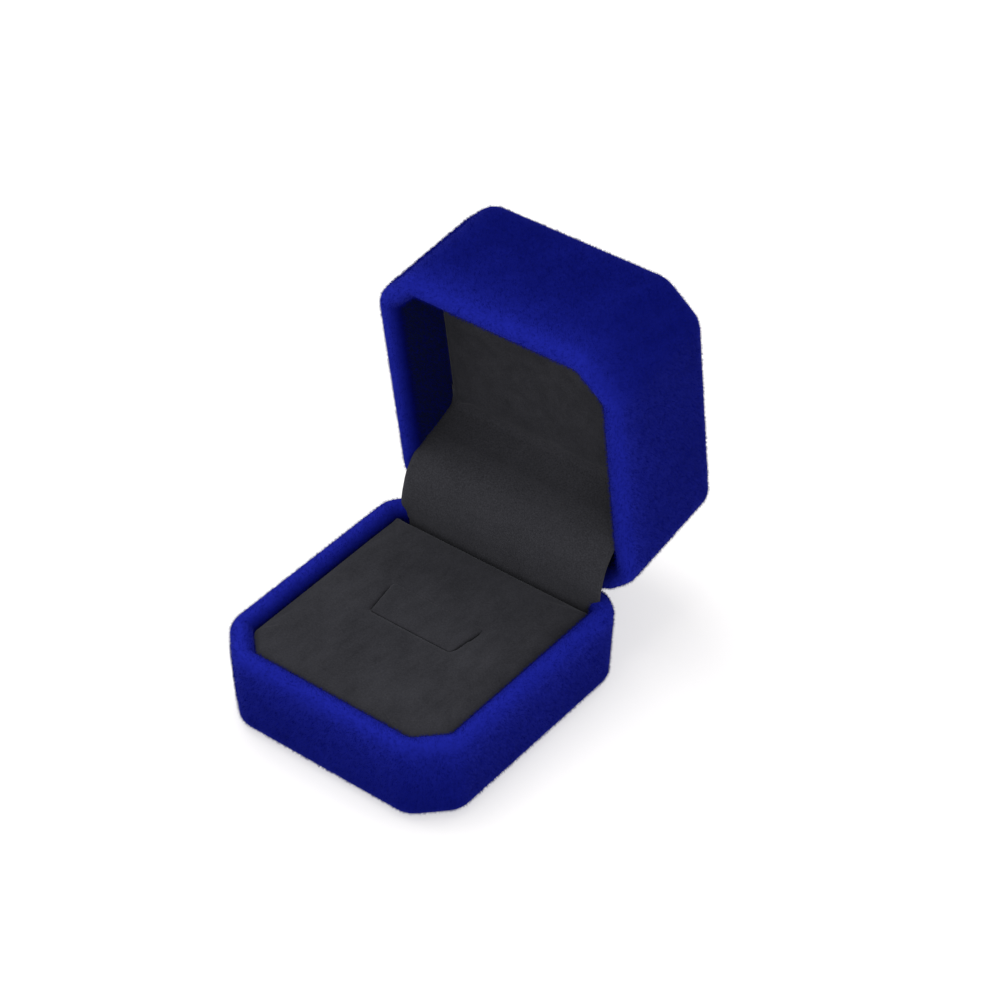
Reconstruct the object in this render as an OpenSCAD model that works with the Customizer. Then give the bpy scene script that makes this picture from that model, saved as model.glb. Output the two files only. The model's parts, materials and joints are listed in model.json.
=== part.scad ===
/* [Outside] */
// Width across the side walls
box_w = 56.5; // [50:0.5:68]
// Depth from the front face to the back face
box_d = 62; // [54:0.5:75]
// Height of the base, from the table to its rim
base_h = 19; // [17:0.5:23]
// Height of the lid, from its rim to its top
lid_h = 28; // [24:0.5:33]
// Leg of each corner chamfer, measured along a wall
corner_leg = 7.8; // [6.6:0.2:9.4]
// Rounding of the upright edges, outside
edge_r = 6.6; // [4:0.2:7.4]
// Rounding of the upright edges, inside the rim
inner_edge_r = 1.2; // [0.6:0.1:2.4]
// Rounding where the base's walls meet its underside
foot_r = 3.2; // [2.6:0.1:4.2]
// Rounding where the lid's walls meet its top
crown_r = 3.4; // [1.9:0.1:3.6]
// How far each wall leans in from the rim to the far end
wall_lean = 0.6; // [0:0.1:0.8]
// Gap between the two rims when the box is shut
seam_gap = 0.3; // [0.2:0.1:0.6]

/* [Wall layers] */
// Thickness of the velvet with its pile
velvet_t = 0.7; // [0.4:0.05:0.8]
// Thickness of the foam wadding under the velvet
wadding_t = 0.8; // [0.5:0.05:0.9]
// Thickness of the moulded shells
shell_t = 1.6; // [1.2:0.1:2.2]
// Depth that the velvet turns in below the base's rim
base_turn_in = 9; // [6:0.5:9.5]
// Width of the velvet that turns under the base
turn_under = 9; // [7:0.5:11]
// Thickness of the sheet glued under the base
sole_t = 0.4; // [0.2:0.1:0.6]
// How far the sheet under the base stays inside the walls
sole_inset = 5; // [4.6:0.2:6.4]

/* [Ring pad] */
// How far the pad's top lies below the rim
pad_recess = 1.3; // [0.8:0.1:3]
// Distance from the back face to the pad's back edge
pad_back = 9.6; // [9:0.2:12]
// Thickness of the foam in the pad
pad_foam_t = 6; // [4:0.25:7]
// Thickness of the greyboard
board_t = 1.2; // [0.8:0.1:1.6]
// Thickness of the black velvet
lining_t = 0.7; // [0.4:0.05:0.8]
// Gap between a lining and the velvet wall round it
lining_gap = 0.3; // [0.2:0.05:0.5]
// Width of the tongue at the slit
tongue_w = 19.4; // [16:0.2:24]
// Extra width of the tongue at its root
tongue_flare = 2.4; // [0:0.2:4]
// Length of the tongue from the slit to its root
tongue_l = 8; // [6:0.5:11]
// Thickness of the tongue
tongue_t = 2.4; // [1.8:0.1:3]
// Distance of the slit in front of the box's middle
slit_y = 3.9; // [1:0.1:6]
// Gap round the tongue
tongue_gap = 0.35; // [0.25:0.05:0.6]

/* [Lid lining] */
// Depth of the lining's face inside the lid's rim
lid_pocket = 12.2; // [9:0.2:14]
// Distance from the back face to the flat panel's back edge
panel_back = 18.4; // [16:0.2:22]
// Thickness of the foam behind the lining
lid_foam_t = 3; // [2:0.25:4]

/* [Hinge] */
// Angle from shut to the open stop
open_angle = 82; // [60:1:84]
// Gap between the hinge's leaves and the shells they are riveted to
leaf_gap = 0; // [0:0.05:0.4]
// Depth of the hinge axis below the base's rim
hinge_drop = 1.2; // [0.8:0.1:1.6]
// Distance from each end of the hinge to where the back wall starts to curve
hinge_margin = 0.9; // [0.3:0.1:4]
// Radius of the hinge pin
pin_r = 0.45; // [0.35:0.05:0.5]
// Radial running clearance of the pin
pin_clear = 0.05; // [0.02:0.01:0.08]
// Thickness of the hinge's sheet steel
leaf_t = 0.5; // [0.4:0.05:0.6]
// Length of each leaf away from the axis
leaf_l = 11; // [9:0.5:12]
// Gap between neighbouring knuckles
knuckle_gap = 0.2; // [0.1:0.05:0.4]
// Radius of the rivet shanks
rivet_r = 0.8; // [0.6:0.05:1]
// Distance between the two rivets of a leaf
rivet_pitch = 20; // [14:1:24]
// Width of each snap spring
spring_w = 4; // [3:0.5:5]
// Thickness of the snap springs
spring_t = 0.3; // [0.2:0.05:0.4]
// Distance between the snap springs
spring_pitch = 8; // [6:0.5:10]
// Thickness of the cloth strip that hides the hinge
strip_t = 0.8; // [0.5:0.1:1]
// Gap between the edges of that strip and the walls beside it
strip_side_gap = 0.8; // [0.4:0.1:2]

/* [Hidden] */

$fn = 48;
blue = [0.09, 0.11, 0.45];
black = [0.13, 0.13, 0.15];
foam_grey = [0.35, 0.35, 0.37];
card_grey = [0.45, 0.43, 0.4];
shell_grey = [0.6, 0.6, 0.62];
steel = [0.72, 0.73, 0.75];

tiny = 0.01;
arc_steps = 3;
root2 = sqrt(2);

// Walls: every layer is a distance in from the outer face.
rim_t = 2 * (velvet_t + wadding_t) + shell_t;
shell_in = velvet_t + wadding_t;
shell_bore = rim_t - shell_in;
back_y = box_d / 2;
rim_z = base_h;
lid_rim_z = rim_z + seam_gap;
lid_top_z = lid_rim_z + lid_h;

// Hinge axis, set by the leaves that lie on the shells, and the slope that lets the
// backs meet as the open stop.
knuckle_r = pin_r + pin_clear + leaf_t;
hinge_y = back_y - shell_bore - leaf_gap - knuckle_r;
hinge_z = rim_z - hinge_drop;
bevel = open_angle / 2;
stop_gap = 0.2;
bend_share = 0.46;
base_bend_z = base_h * bend_share;
lid_bend_z = lid_top_z - lid_h * 0.6;

knuckle_count = 5;
relief = 0.3;
plate_y = hinge_y + knuckle_r - leaf_t;
plate_start = knuckle_r + relief + 0.1;

floor_z = sole_t + shell_in + shell_t;
pad_top = rim_z - pad_recess;
pad_foam_top = pad_top - lining_t;
pad_board_top = pad_foam_top - pad_foam_t;
riser_top = pad_board_top - board_t;
pad_inset = rim_t + lining_gap;
pad_back_y = back_y - pad_back;
skirt_t = 0.5;
card_t = 1;

root_y = tongue_l - slit_y;
tip_y = -slit_y;
pivot_z = pad_top - tongue_t / 2;
tongue_skin = 0.5;

panel_z = lid_rim_z + lid_pocket;
lid_foam_z = panel_z + lining_t;
lid_board_z = lid_foam_z + lid_foam_t;
lid_riser_z = lid_board_z + board_t;
lid_floor_z = lid_top_z - shell_in - shell_t;
panel_back_y = back_y - panel_back;
lid_turn_in = lid_pocket + 2.5;

// ---- Outline of the box: a rectangle with chamfered, rounded corners ----

function layer_r(inset) =
    max(inner_edge_r, edge_r + (inner_edge_r - edge_r) * inset / rim_t);

// Meeting point of two neighbouring walls, each moved in by the same distance.
function wall_corner(half_a, half_b, inset) =
    [half_a - inset, half_b - corner_leg - inset * (root2 - 1)];

// The eight corners in order, with the direction that each one's arc starts at.
function corners(inset) =
    let (
        a = wall_corner(box_w / 2, box_d / 2, inset),
        b = wall_corner(box_d / 2, box_w / 2, inset)
    )
    [
        [[a.x, a.y], 0], [[b.y, b.x], 45],
        [[-b.y, b.x], 90], [[-a.x, a.y], 135],
        [[-a.x, -a.y], 180], [[-b.y, -b.x], 225],
        [[b.y, -b.x], 270], [[a.x, -a.y], 315]
    ];

function arc_centre(corner, radius) =
    let (mid = corner[1] + 22.5, reach = radius / cos(22.5))
    corner[0] - reach * [cos(mid), sin(mid)];

function corner_arc(corner, radius) =
    let (centre = arc_centre(corner, radius))
    [for (i = [0 : arc_steps])
        let (a = corner[1] + 45 * i / arc_steps)
        centre + radius * [cos(a), sin(a)]];

// Straight chamfers carry two more points, so that the back bevel can bend there.
function chamfer_points(p, q, is_chamfer) =
    is_chamfer ? [p + (q - p) / 3, p + (q - p) * 2 / 3] : [];

function outline(inset) =
    let (
        radius = layer_r(inset),
        arcs = [for (corner = corners(inset)) corner_arc(corner, radius)]
    )
    [for (k = [0 : 7])
        each concat(
            arcs[k],
            chamfer_points(arcs[k][arc_steps], arcs[(k + 1) % 8][0], k % 2 == 0)
        )];

// The hinge fills the flat of the back wall inside the shells.
back_flat = box_w - 2 * (corner_leg + shell_bore * (root2 - 1))
    - 2 * layer_r(shell_bore) * tan(22.5);
hinge_w = back_flat - 2 * hinge_margin;
knuckle_pitch = hinge_w / knuckle_count;

// ---- Wrapped layers: a profile of [inset, height] carried round the outline ----

// Heights near the back follow the bevel that forms the open stop.
function base_bent(y, z) =
    let (cap = min(rim_z, hinge_z - stop_gap - tan(bevel) * (y - hinge_y)))
    z <= base_bend_z ? z
        : base_bend_z + (z - base_bend_z) * (cap - base_bend_z) / (rim_z - base_bend_z);

function lid_bent(y, z) =
    let (cap = max(lid_rim_z, hinge_z + stop_gap + tan(bevel) * (y - hinge_y)))
    z >= lid_bend_z ? z
        : lid_bend_z - (lid_bend_z - z) * (lid_bend_z - cap) / (lid_bend_z - lid_rim_z);

function ring_points(inset, z, in_lid) =
    [for (p = outline(inset)) [p.x, p.y, in_lid ? lid_bent(p.y, z) : base_bent(p.y, z)]];

function side_faces(rings, count, closed) =
    [for (k = [0 : rings - (closed ? 1 : 2)])
        for (i = [0 : count - 1])
            let (
                j = (i + 1) % count,
                a = k * count,
                b = ((k + 1) % rings) * count
            )
            each [[a + i, b + i, b + j], [a + i, b + j, a + j]]];

// A closed profile makes a wrapped layer; an open one is capped at both ends.
module wrap(profile, in_lid, closed) {
    rings = [for (p = profile) ring_points(p.x, p.y, in_lid)];
    count = len(rings[0]);
    last = len(rings) - 1;
    caps = closed ? [] : [
        [for (i = [0 : count - 1]) i],
        [for (i = [count - 1 : -1 : 0]) last * count + i]
    ];
    faces = concat(side_faces(len(rings), count, closed), caps);
    polyhedron(
        points = [for (ring = rings) each ring],
        faces = in_lid ? [for (face = faces) reversed(face)] : faces
    );
}

// The lid is worked out upside down from its top, the base upright from its
// underside: far is the closed end, rim the open one, dir points to the rim.
function wall_path(depth, far, rim, dir, far_r, turn, end_inset, bend) =
    let (
        swing = far_r - depth,
        rim_swing = rim_t / 2 - depth,
        far_mid = far + dir * far_r,
        rim_mid = rim - dir * rim_t / 2
    )
    concat(
        end_inset > 0 ? [[end_inset, far + dir * depth]] : [],
        [for (i = [0 : arc_steps])
            let (a = 90 * i / arc_steps)
            [wall_lean + far_r - swing * sin(a), far_mid - dir * swing * cos(a)]],
        [[depth + wall_lean * abs(rim - bend) / abs(rim - far), bend]],
        [for (i = [0 : 2 * arc_steps])
            let (a = 90 * i / arc_steps)
            [rim_t / 2 - rim_swing * cos(a), rim_mid + dir * rim_swing * sin(a)]],
        [[rim_t - depth, rim - dir * turn]]
    );

function base_path(depth, turn, end_inset) =
    wall_path(depth, sole_t, rim_z, 1, foot_r, turn, end_inset, base_bend_z);

function lid_path(depth, turn) =
    wall_path(depth, lid_top_z, lid_rim_z, -1, crown_r, turn, 0, lid_bend_z);

function reversed(list) = [for (i = [len(list) - 1 : -1 : 0]) list[i]];

module base_layer(outer, inner, end_inset) {
    wrap(
        concat(
            base_path(outer, base_turn_in, end_inset),
            reversed(base_path(inner, base_turn_in, end_inset))
        ),
        false, true
    );
}

// The lid's layers close over its top, so their profile ends in two caps.
module lid_layer(outer, inner) {
    outer_path = lid_path(outer, lid_turn_in);
    inner_path = lid_path(inner, lid_turn_in);
    wrap(concat(outer_path, reversed(inner_path)), true, false);
}

// Everything in the lid is drawn shut, then swung back to the open stop.
module swung_open() {
    translate([0, hinge_y, hinge_z])
        rotate([-open_angle, 0, 0])
            translate([0, -hinge_y, -hinge_z])
                children();
}

// Room in the back walls for the hinge: knuckles, leaves and springs.
module hinge_room(dir) {
    room_w = hinge_w + 2 * relief;
    plate_reach = leaf_l + 2 * relief;
    front_y = back_y - rim_t - 2;
    translate([-room_w / 2, hinge_y, hinge_z])
        rotate([0, 90, 0])
            cylinder(h = room_w, r = knuckle_r + relief);
    translate([-room_w / 2, front_y, hinge_z - (dir < 0 ? plate_reach : 0)])
        cube([room_w, back_y - shell_bore - front_y, plate_reach]);
}

// Rivets of a leaf, and how far the leaning wall has moved in where they pass.
rivet_reach = leaf_l - 3.4;
rivet_head_r = rivet_r + 0.7;
rivet_head_t = 0.4;
shell_face_y = back_y - shell_bore;
function rivet_lean(dir) =
    dir < 0
        ? wall_lean * (rivet_reach + hinge_drop) / base_h
        : wall_lean * (rivet_reach - hinge_drop - seam_gap) / lid_h;
function shell_back_y(dir) = back_y - shell_in - rivet_lean(dir);

module rivet_row(radius, from_y, to_y, dir) {
    for (side = [-1, 1])
        translate([side * rivet_pitch / 2, from_y, hinge_z + dir * rivet_reach])
            rotate([-90, 0, 0])
                cylinder(h = to_y - from_y, r = radius);
}

module rivets(dir) {
    outer_y = shell_back_y(dir);
    rivet_row(rivet_head_r, plate_y - rivet_head_t, plate_y, dir);
    rivet_row(rivet_r, plate_y - tiny, outer_y + rivet_head_t - tiny, dir);
    rivet_row(rivet_head_r, outer_y, outer_y + rivet_head_t, dir);
}

// Room in the wadding and shell for the outer rivet heads.
module rivet_seats(dir) {
    outer_y = shell_back_y(dir);
    rivet_row(rivet_head_r + relief, outer_y, outer_y + rivet_head_t + tiny, dir);
}

// ---- Base ----

module base_shell() {
    path = base_path(shell_in, base_turn_in, 0);
    wall = [for (i = [0 : len(path) - 2]) path[i]];
    color(shell_grey)
        difference() {
            wrap(
                concat(wall, [[shell_bore, base_bend_z], [shell_bore, floor_z]]),
                false, false
            );
            rivet_row(rivet_r, shell_face_y - 1, back_y, -1);
            rivet_seats(-1);
        }
}

module base_wadding() {
    color(foam_grey)
        difference() {
            base_layer(velvet_t, shell_in, turn_under);
            hinge_room(-1);
            rivet_seats(-1);
        }
}

module base_cover() {
    color(blue)
        difference() {
            base_layer(0, velvet_t, turn_under);
            hinge_room(-1);
        }
}

module flat_outline(inset, back_limit) {
    intersection() {
        polygon(outline(inset));
        translate([-box_w, back_limit - 2 * box_d])
            square([2 * box_w, 2 * box_d]);
    }
}

module base_sole() {
    color(black)
        linear_extrude(sole_t)
            flat_outline(sole_inset, back_y);
}

module pad_riser() {
    color(card_grey)
        translate([0, 0, floor_z])
            linear_extrude(riser_top - floor_z)
                difference() {
                    flat_outline(pad_inset + skirt_t, pad_back_y - skirt_t);
                    flat_outline(pad_inset + skirt_t + card_t, pad_back_y - skirt_t - card_t);
                }
}

// Plan of the tongue, or of the slot round it when grown by a gap.
module tongue_plan(gap, front) {
    front_w = tongue_w / 2 + gap;
    root_w = (tongue_w + tongue_flare) / 2 + gap;
    polygon([
        [-front_w, tip_y - front], [front_w, tip_y - front],
        [root_w, root_y + gap], [-root_w, root_y + gap]
    ]);
}

module pad_board() {
    color(card_grey)
        translate([0, 0, riser_top])
            linear_extrude(board_t)
                difference() {
                    flat_outline(pad_inset + skirt_t, pad_back_y - skirt_t);
                    tongue_plan(2 * tongue_gap, 2 * tongue_gap);
                }
}

module pad_foam() {
    color(foam_grey)
        translate([0, 0, pad_board_top])
            linear_extrude(pad_foam_t)
                difference() {
                    flat_outline(pad_inset + skirt_t, pad_back_y - skirt_t);
                    tongue_plan(2 * tongue_gap, 2 * tongue_gap);
                }
}

module pad_cover() {
    color(black)
        difference() {
            translate([0, 0, riser_top])
                linear_extrude(pad_top - riser_top)
                    flat_outline(pad_inset, pad_back_y);
            translate([0, 0, riser_top - 1])
                linear_extrude(pad_foam_top - riser_top + 1)
                    flat_outline(pad_inset + skirt_t, pad_back_y - skirt_t);
            translate([0, 0, riser_top])
                linear_extrude(pad_top)
                    tongue_plan(tongue_gap, tongue_gap);
        }
}

module tongue_core() {
    color(card_grey)
        translate([0, 0, pad_top - tongue_t + tongue_skin])
            linear_extrude(tongue_t - tongue_skin - lining_t)
                tongue_plan(-tongue_skin, -tongue_skin);
}

module tongue_cover() {
    color(black)
        difference() {
            translate([0, 0, pad_top - tongue_t])
                linear_extrude(tongue_t)
                    tongue_plan(0, 0);
            translate([0, 0, pad_top - tongue_t + tongue_skin])
                linear_extrude(tongue_t - tongue_skin - lining_t)
                    tongue_plan(-tongue_skin, -tongue_skin);
        }
}

// ---- Hinge ----

// Knuckles of one leaf: the base's are the even ones, the lid's the odd ones.
module knuckles(first, radius, gap) {
    for (k = [first : 2 : knuckle_count - 1])
        translate([k * knuckle_pitch - hinge_w / 2 + gap / 2, hinge_y, hinge_z])
            rotate([0, 90, 0])
                cylinder(h = knuckle_pitch - gap, r = radius);
}

module leaf(first, dir) {
    plate_from = dir < 0 ? hinge_z - leaf_l : hinge_z + plate_start;
    difference() {
        union() {
            knuckles(first, knuckle_r, knuckle_gap);
            for (k = [first : 2 : knuckle_count - 1])
                translate([
                    k * knuckle_pitch - hinge_w / 2 + knuckle_gap / 2,
                    plate_y,
                    hinge_z - (dir < 0 ? plate_start + tiny : 0)
                ])
                    cube([knuckle_pitch - knuckle_gap, leaf_t, plate_start + tiny]);
            translate([-hinge_w / 2, plate_y, plate_from])
                cube([hinge_w, leaf_t, leaf_l - plate_start]);
        }
        translate([-hinge_w, hinge_y, hinge_z])
            rotate([0, 90, 0])
                cylinder(h = 2 * hinge_w, r = pin_r + pin_clear);
        rivet_row(rivet_r, plate_y - 1, plate_y + leaf_t + 1, dir);
    }
}

module hinge_base_leaf() {
    color(steel) leaf(0, -1);
}

module hinge_base_rivets() {
    color(steel) rivets(-1);
}

module hinge_pin() {
    color(steel)
        translate([-hinge_w / 2, hinge_y, hinge_z])
            rotate([0, 90, 0])
                cylinder(h = hinge_w, r = pin_r);
}

// A bent strip seen from the side: its middle line made thick on both sides.
function unit(v) = v / norm(v);
function side_of(path, i) =
    let (
        a = path[max(i - 1, 0)],
        b = path[min(i + 1, len(path) - 1)],
        along = unit(b - a)
    )
    [-along.y, along.x];
function strip_edge(path, offset_by) =
    [for (i = [0 : len(path) - 1]) path[i] + offset_by * side_of(path, i)];

module bent_strip(path, thick, width) {
    translate([-width / 2, 0, 0])
        rotate([90, 0, 90])
            linear_extrude(width)
                polygon(concat(
                    strip_edge(path, thick / 2),
                    reversed(strip_edge(path, -thick / 2))
                ));
}

// In the side view, a point of the lid moved to where the open lid holds it.
function opened(p) =
    let (q = p - [hinge_y, hinge_z], c = cos(open_angle), s = sin(open_angle))
    [hinge_y + q.x * c + q.y * s, hinge_z - q.x * s + q.y * c];

// Each spring lies on one leaf, bows round the knuckles and lies on the other.
spring_gap = 0.05;
bow_r = knuckle_r + 1.1;
spring_foot_y = plate_y - spring_t / 2 - spring_gap;
spring_path = concat(
    [[spring_foot_y, hinge_z - leaf_l + 1.2], [spring_foot_y, hinge_z - 4.6]],
    [for (a = [200 : -20 : 80]) [hinge_y, hinge_z] + bow_r * [cos(a), sin(a)]],
    [opened([spring_foot_y, hinge_z + 4.6]), opened([spring_foot_y, hinge_z + leaf_l - 1.2])]
);

module snap_springs() {
    color(steel)
        for (side = [-1, 1])
            translate([side * spring_pitch / 2, 0, 0])
                bent_strip(spring_path, spring_t, spring_w);
}

// The cloth strip: down behind the pad, up in front of the hinge, into the lid.
strip_back_y = pad_back_y + strip_t / 2 + 0.15;
strip_start = [strip_back_y + 0.9, pad_top + 0.2];
strip_end = opened([panel_back_y + strip_t / 2 + 0.3, panel_z + strip_t]);
strip_sweep = strip_end - strip_start;
strip_path = concat(
    [[strip_back_y, riser_top], [strip_back_y, pad_top - 1.6]],
    [for (t = [0 : 0.125 : 1])
        strip_start + [
            strip_sweep.x * pow(1 - cos(90 * t), 1.25),
            strip_sweep.y * (0.86 * sin(90 * t) + 0.14 * t * t)
        ]]
);
// As wide as the room behind the pad, between the side walls or the chamfers.
chamfer_reach = (box_w + box_d) / 2 - corner_leg - rim_t * root2;
strip_room = min(box_w / 2 - rim_t, chamfer_reach - strip_back_y - strip_t / 2);
strip_w = 2 * (strip_room - strip_side_gap);

module hinge_strip() {
    color(black) bent_strip(strip_path, strip_t, strip_w);
}

// ---- Lid ----

module hinge_lid_leaf() {
    color(steel) swung_open() leaf(1, 1);
}

module hinge_lid_rivets() {
    color(steel) swung_open() rivets(1);
}

module lid_shell() {
    path = lid_path(shell_in, lid_turn_in);
    wall = [for (i = [0 : len(path) - 2]) path[i]];
    color(shell_grey)
        swung_open()
            difference() {
                wrap(
                    concat(wall, [[shell_bore, lid_bend_z], [shell_bore, lid_floor_z]]),
                    true, false
                );
                rivet_row(rivet_r, shell_face_y - 1, back_y, 1);
                rivet_seats(1);
            }
}

module lid_wadding() {
    color(foam_grey)
        swung_open()
            difference() {
                lid_layer(velvet_t, shell_in);
                hinge_room(1);
                rivet_seats(1);
            }
}

module lid_cover() {
    color(blue)
        swung_open()
            difference() {
                lid_layer(0, velvet_t);
                hinge_room(1);
            }
}

module lid_riser() {
    color(card_grey)
        swung_open()
            translate([0, 0, lid_riser_z])
                linear_extrude(lid_floor_z - lid_riser_z)
                    difference() {
                        flat_outline(pad_inset + skirt_t, panel_back_y - skirt_t);
                        flat_outline(pad_inset + skirt_t + card_t, panel_back_y - skirt_t - card_t);
                    }
}

module lid_board() {
    color(card_grey)
        swung_open()
            translate([0, 0, lid_board_z])
                linear_extrude(board_t)
                    flat_outline(pad_inset + skirt_t, panel_back_y - skirt_t);
}

module lid_foam() {
    color(foam_grey)
        swung_open()
            translate([0, 0, lid_foam_z])
                linear_extrude(lid_foam_t)
                    flat_outline(pad_inset + skirt_t, panel_back_y - skirt_t);
}

module lid_lining() {
    color(black)
        swung_open()
            difference() {
                translate([0, 0, panel_z])
                    linear_extrude(lid_riser_z - panel_z)
                        flat_outline(pad_inset, panel_back_y);
                translate([0, 0, lid_foam_z])
                    linear_extrude(lid_riser_z - lid_foam_z + 1)
                        flat_outline(pad_inset + skirt_t, panel_back_y - skirt_t);
            }
}

base_shell();
base_wadding();
base_cover();
base_sole();
pad_riser();
pad_board();
pad_foam();
pad_cover();
tongue_core();
tongue_cover();
hinge_base_leaf();
hinge_base_rivets();
hinge_pin();
snap_springs();
hinge_strip();
hinge_lid_leaf();
hinge_lid_rivets();
lid_shell();
lid_wadding();
lid_cover();
lid_riser();
lid_board();
lid_foam();
lid_lining();
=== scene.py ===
import json
import math

import bpy
import numpy as np
from mathutils import Matrix, Vector


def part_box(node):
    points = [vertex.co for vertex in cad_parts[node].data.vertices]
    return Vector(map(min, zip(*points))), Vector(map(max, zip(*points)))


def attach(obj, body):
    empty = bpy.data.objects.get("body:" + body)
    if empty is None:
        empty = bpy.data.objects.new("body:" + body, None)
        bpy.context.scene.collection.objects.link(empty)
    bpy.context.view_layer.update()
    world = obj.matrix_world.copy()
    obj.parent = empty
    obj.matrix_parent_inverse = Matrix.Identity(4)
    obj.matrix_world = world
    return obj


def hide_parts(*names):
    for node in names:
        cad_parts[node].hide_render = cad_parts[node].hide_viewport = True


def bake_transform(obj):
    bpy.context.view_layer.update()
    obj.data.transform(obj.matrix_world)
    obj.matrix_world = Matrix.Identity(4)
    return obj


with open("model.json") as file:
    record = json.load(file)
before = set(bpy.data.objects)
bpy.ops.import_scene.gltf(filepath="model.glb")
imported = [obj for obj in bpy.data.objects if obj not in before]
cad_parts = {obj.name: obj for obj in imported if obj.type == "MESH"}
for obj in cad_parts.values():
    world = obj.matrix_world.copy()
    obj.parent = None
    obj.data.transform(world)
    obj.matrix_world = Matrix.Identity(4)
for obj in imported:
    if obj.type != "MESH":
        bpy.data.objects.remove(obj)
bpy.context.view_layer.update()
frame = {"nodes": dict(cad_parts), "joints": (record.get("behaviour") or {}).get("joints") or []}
MM = 0.001


# ---- Hinge line ---------------------------------------------------------------------
# The lid turns on a pin near the back of the base, and stands open against its stop.
# Pieces of the lid are drawn as they lie when the box is shut, then swung open.

hinge = next(joint for joint in frame["joints"] if joint["name"] == "lid_hinge")
hinge_at = Vector(hinge["pos_m"])
open_angle = math.radians(max(hinge["range_deg"]))
swing_open = (
    Matrix.Translation(hinge_at) @ Matrix.Rotation(-open_angle, 4, "X") @ Matrix.Translation(-hinge_at)
)


# ---- Camera -------------------------------------------------------------------------
# A long lens held above the front right corner, looking down into the open box.

view_turn = math.radians(37.89)
view_tilt = math.radians(39.0)
view_distance = 0.5671
view_right = Vector((math.cos(view_turn), math.sin(view_turn), 0))
view_back = Vector((
    math.sin(view_turn) * math.cos(view_tilt),
    -math.cos(view_turn) * math.cos(view_tilt),
    math.sin(view_tilt),
))
view_up = view_back.cross(view_right)
camera_data = bpy.data.cameras.new("studio_camera")
camera_data.sensor_width = 36
camera_data.lens = 106.25
camera_data.clip_start = 0.02
camera = bpy.data.objects.new("studio_camera", camera_data)
camera_place = view_back * view_distance + view_right * 0.01458 + view_up * 0.03607
camera.matrix_world = Matrix((
    (view_right.x, view_up.x, view_back.x, camera_place.x),
    (view_right.y, view_up.y, view_back.y, camera_place.y),
    (view_right.z, view_up.z, view_back.z, camera_place.z),
    (0, 0, 0, 1),
))
bpy.context.scene.collection.objects.link(camera)
bpy.context.scene.camera = camera
bpy.context.scene.view_settings.view_transform = "Standard"
bpy.context.scene.view_settings.look = "None"


# ---- Shader maths -------------------------------------------------------------------
# Written here because the floor is the first thing that needs a finish.

class Value:
    """A number that varies over a surface. Sums on it add the Math nodes."""

    def __init__(self, finish, socket):
        self.finish = finish
        self.socket = socket

    def maths(self, operation, a, b):
        return self.finish.node("ShaderNodeMath", {"operation": operation}, {0: a, 1: b})

    def __add__(self, other):
        return self.maths("ADD", self, other)

    def __sub__(self, other):
        return self.maths("SUBTRACT", self, other)

    def __rsub__(self, other):
        return self.maths("SUBTRACT", other, self)

    def __mul__(self, other):
        return self.maths("MULTIPLY", self, other)

    __radd__ = __add__
    __rmul__ = __mul__


class Finish:
    """A material, built node by node."""

    def __init__(self, name):
        self.material = bpy.data.materials.new(name)
        self.material.use_nodes = True
        self.tree = self.material.node_tree
        self.tree.nodes.clear()
        self.surface = self.tree.nodes.new("ShaderNodeBsdfPrincipled")
        output = self.tree.nodes.new("ShaderNodeOutputMaterial")
        self.tree.links.new(self.surface.outputs[0], output.inputs["Surface"])

    def node(self, kind, settings=None, sockets=None, out=0):
        """Adds one node: its settings first, then the values or links of its sockets."""
        made = self.tree.nodes.new(kind)
        for name, value in (settings or {}).items():
            setattr(made, name, value)
        for name, value in (sockets or {}).items():
            self.feed(made.inputs[name], value)
        return Value(self, made.outputs[out])

    def feed(self, socket, value):
        if isinstance(value, Value):
            self.tree.links.new(value.socket, socket)
        else:
            socket.default_value = value

    def place(self):
        """Coordinates fixed to the piece, in metres."""
        return self.node("ShaderNodeTexCoord", out="Object")

    def stretched(self, place, scale):
        return self.node("ShaderNodeVectorMath", {"operation": "MULTIPLY"}, {0: place, 1: scale})

    def noise(self, place, scale, detail=2.0, roughness=0.5):
        return self.node(
            "ShaderNodeTexNoise", None,
            {"Vector": place, "Scale": scale, "Detail": detail, "Roughness": roughness},
        )

    def mix(self, share, a, b):
        return self.node(
            "ShaderNodeMix", {"data_type": "RGBA"},
            {"Factor": share, 6: a, 7: b}, out=2,
        )

    def between(self, value, low, high):
        """Nought below low, one above high, straight between."""
        return self.node("ShaderNodeMapRange", None, {"Value": value, "From Min": low, "From Max": high})

    def bump(self, height, distance, strength):
        return self.node(
            "ShaderNodeBump", None, {"Height": height, "Distance": distance, "Strength": strength},
        )

    def set(self, **sockets):
        """Feeds the surface shader: words in a name are joined by underscores."""
        for name, value in sockets.items():
            self.feed(self.surface.inputs[name.replace("_", " ")], value)
        return self


# ---- Floor and light ----------------------------------------------------------------
# A white sweep under soft studio lights: a broad one overhead, and two from the sides.

def new_piece(name, points, faces, smooth=True):
    """A mesh object from its points, in metres, and its faces."""
    mesh = bpy.data.meshes.new(name)
    mesh.from_pydata([tuple(p) for p in points], [], [tuple(int(i) for i in f) for f in faces])
    mesh.validate()
    mesh.polygons.foreach_set("use_smooth", [smooth] * len(mesh.polygons))
    piece = bpy.data.objects.new(name, mesh)
    bpy.context.scene.collection.objects.link(piece)
    return piece


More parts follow.
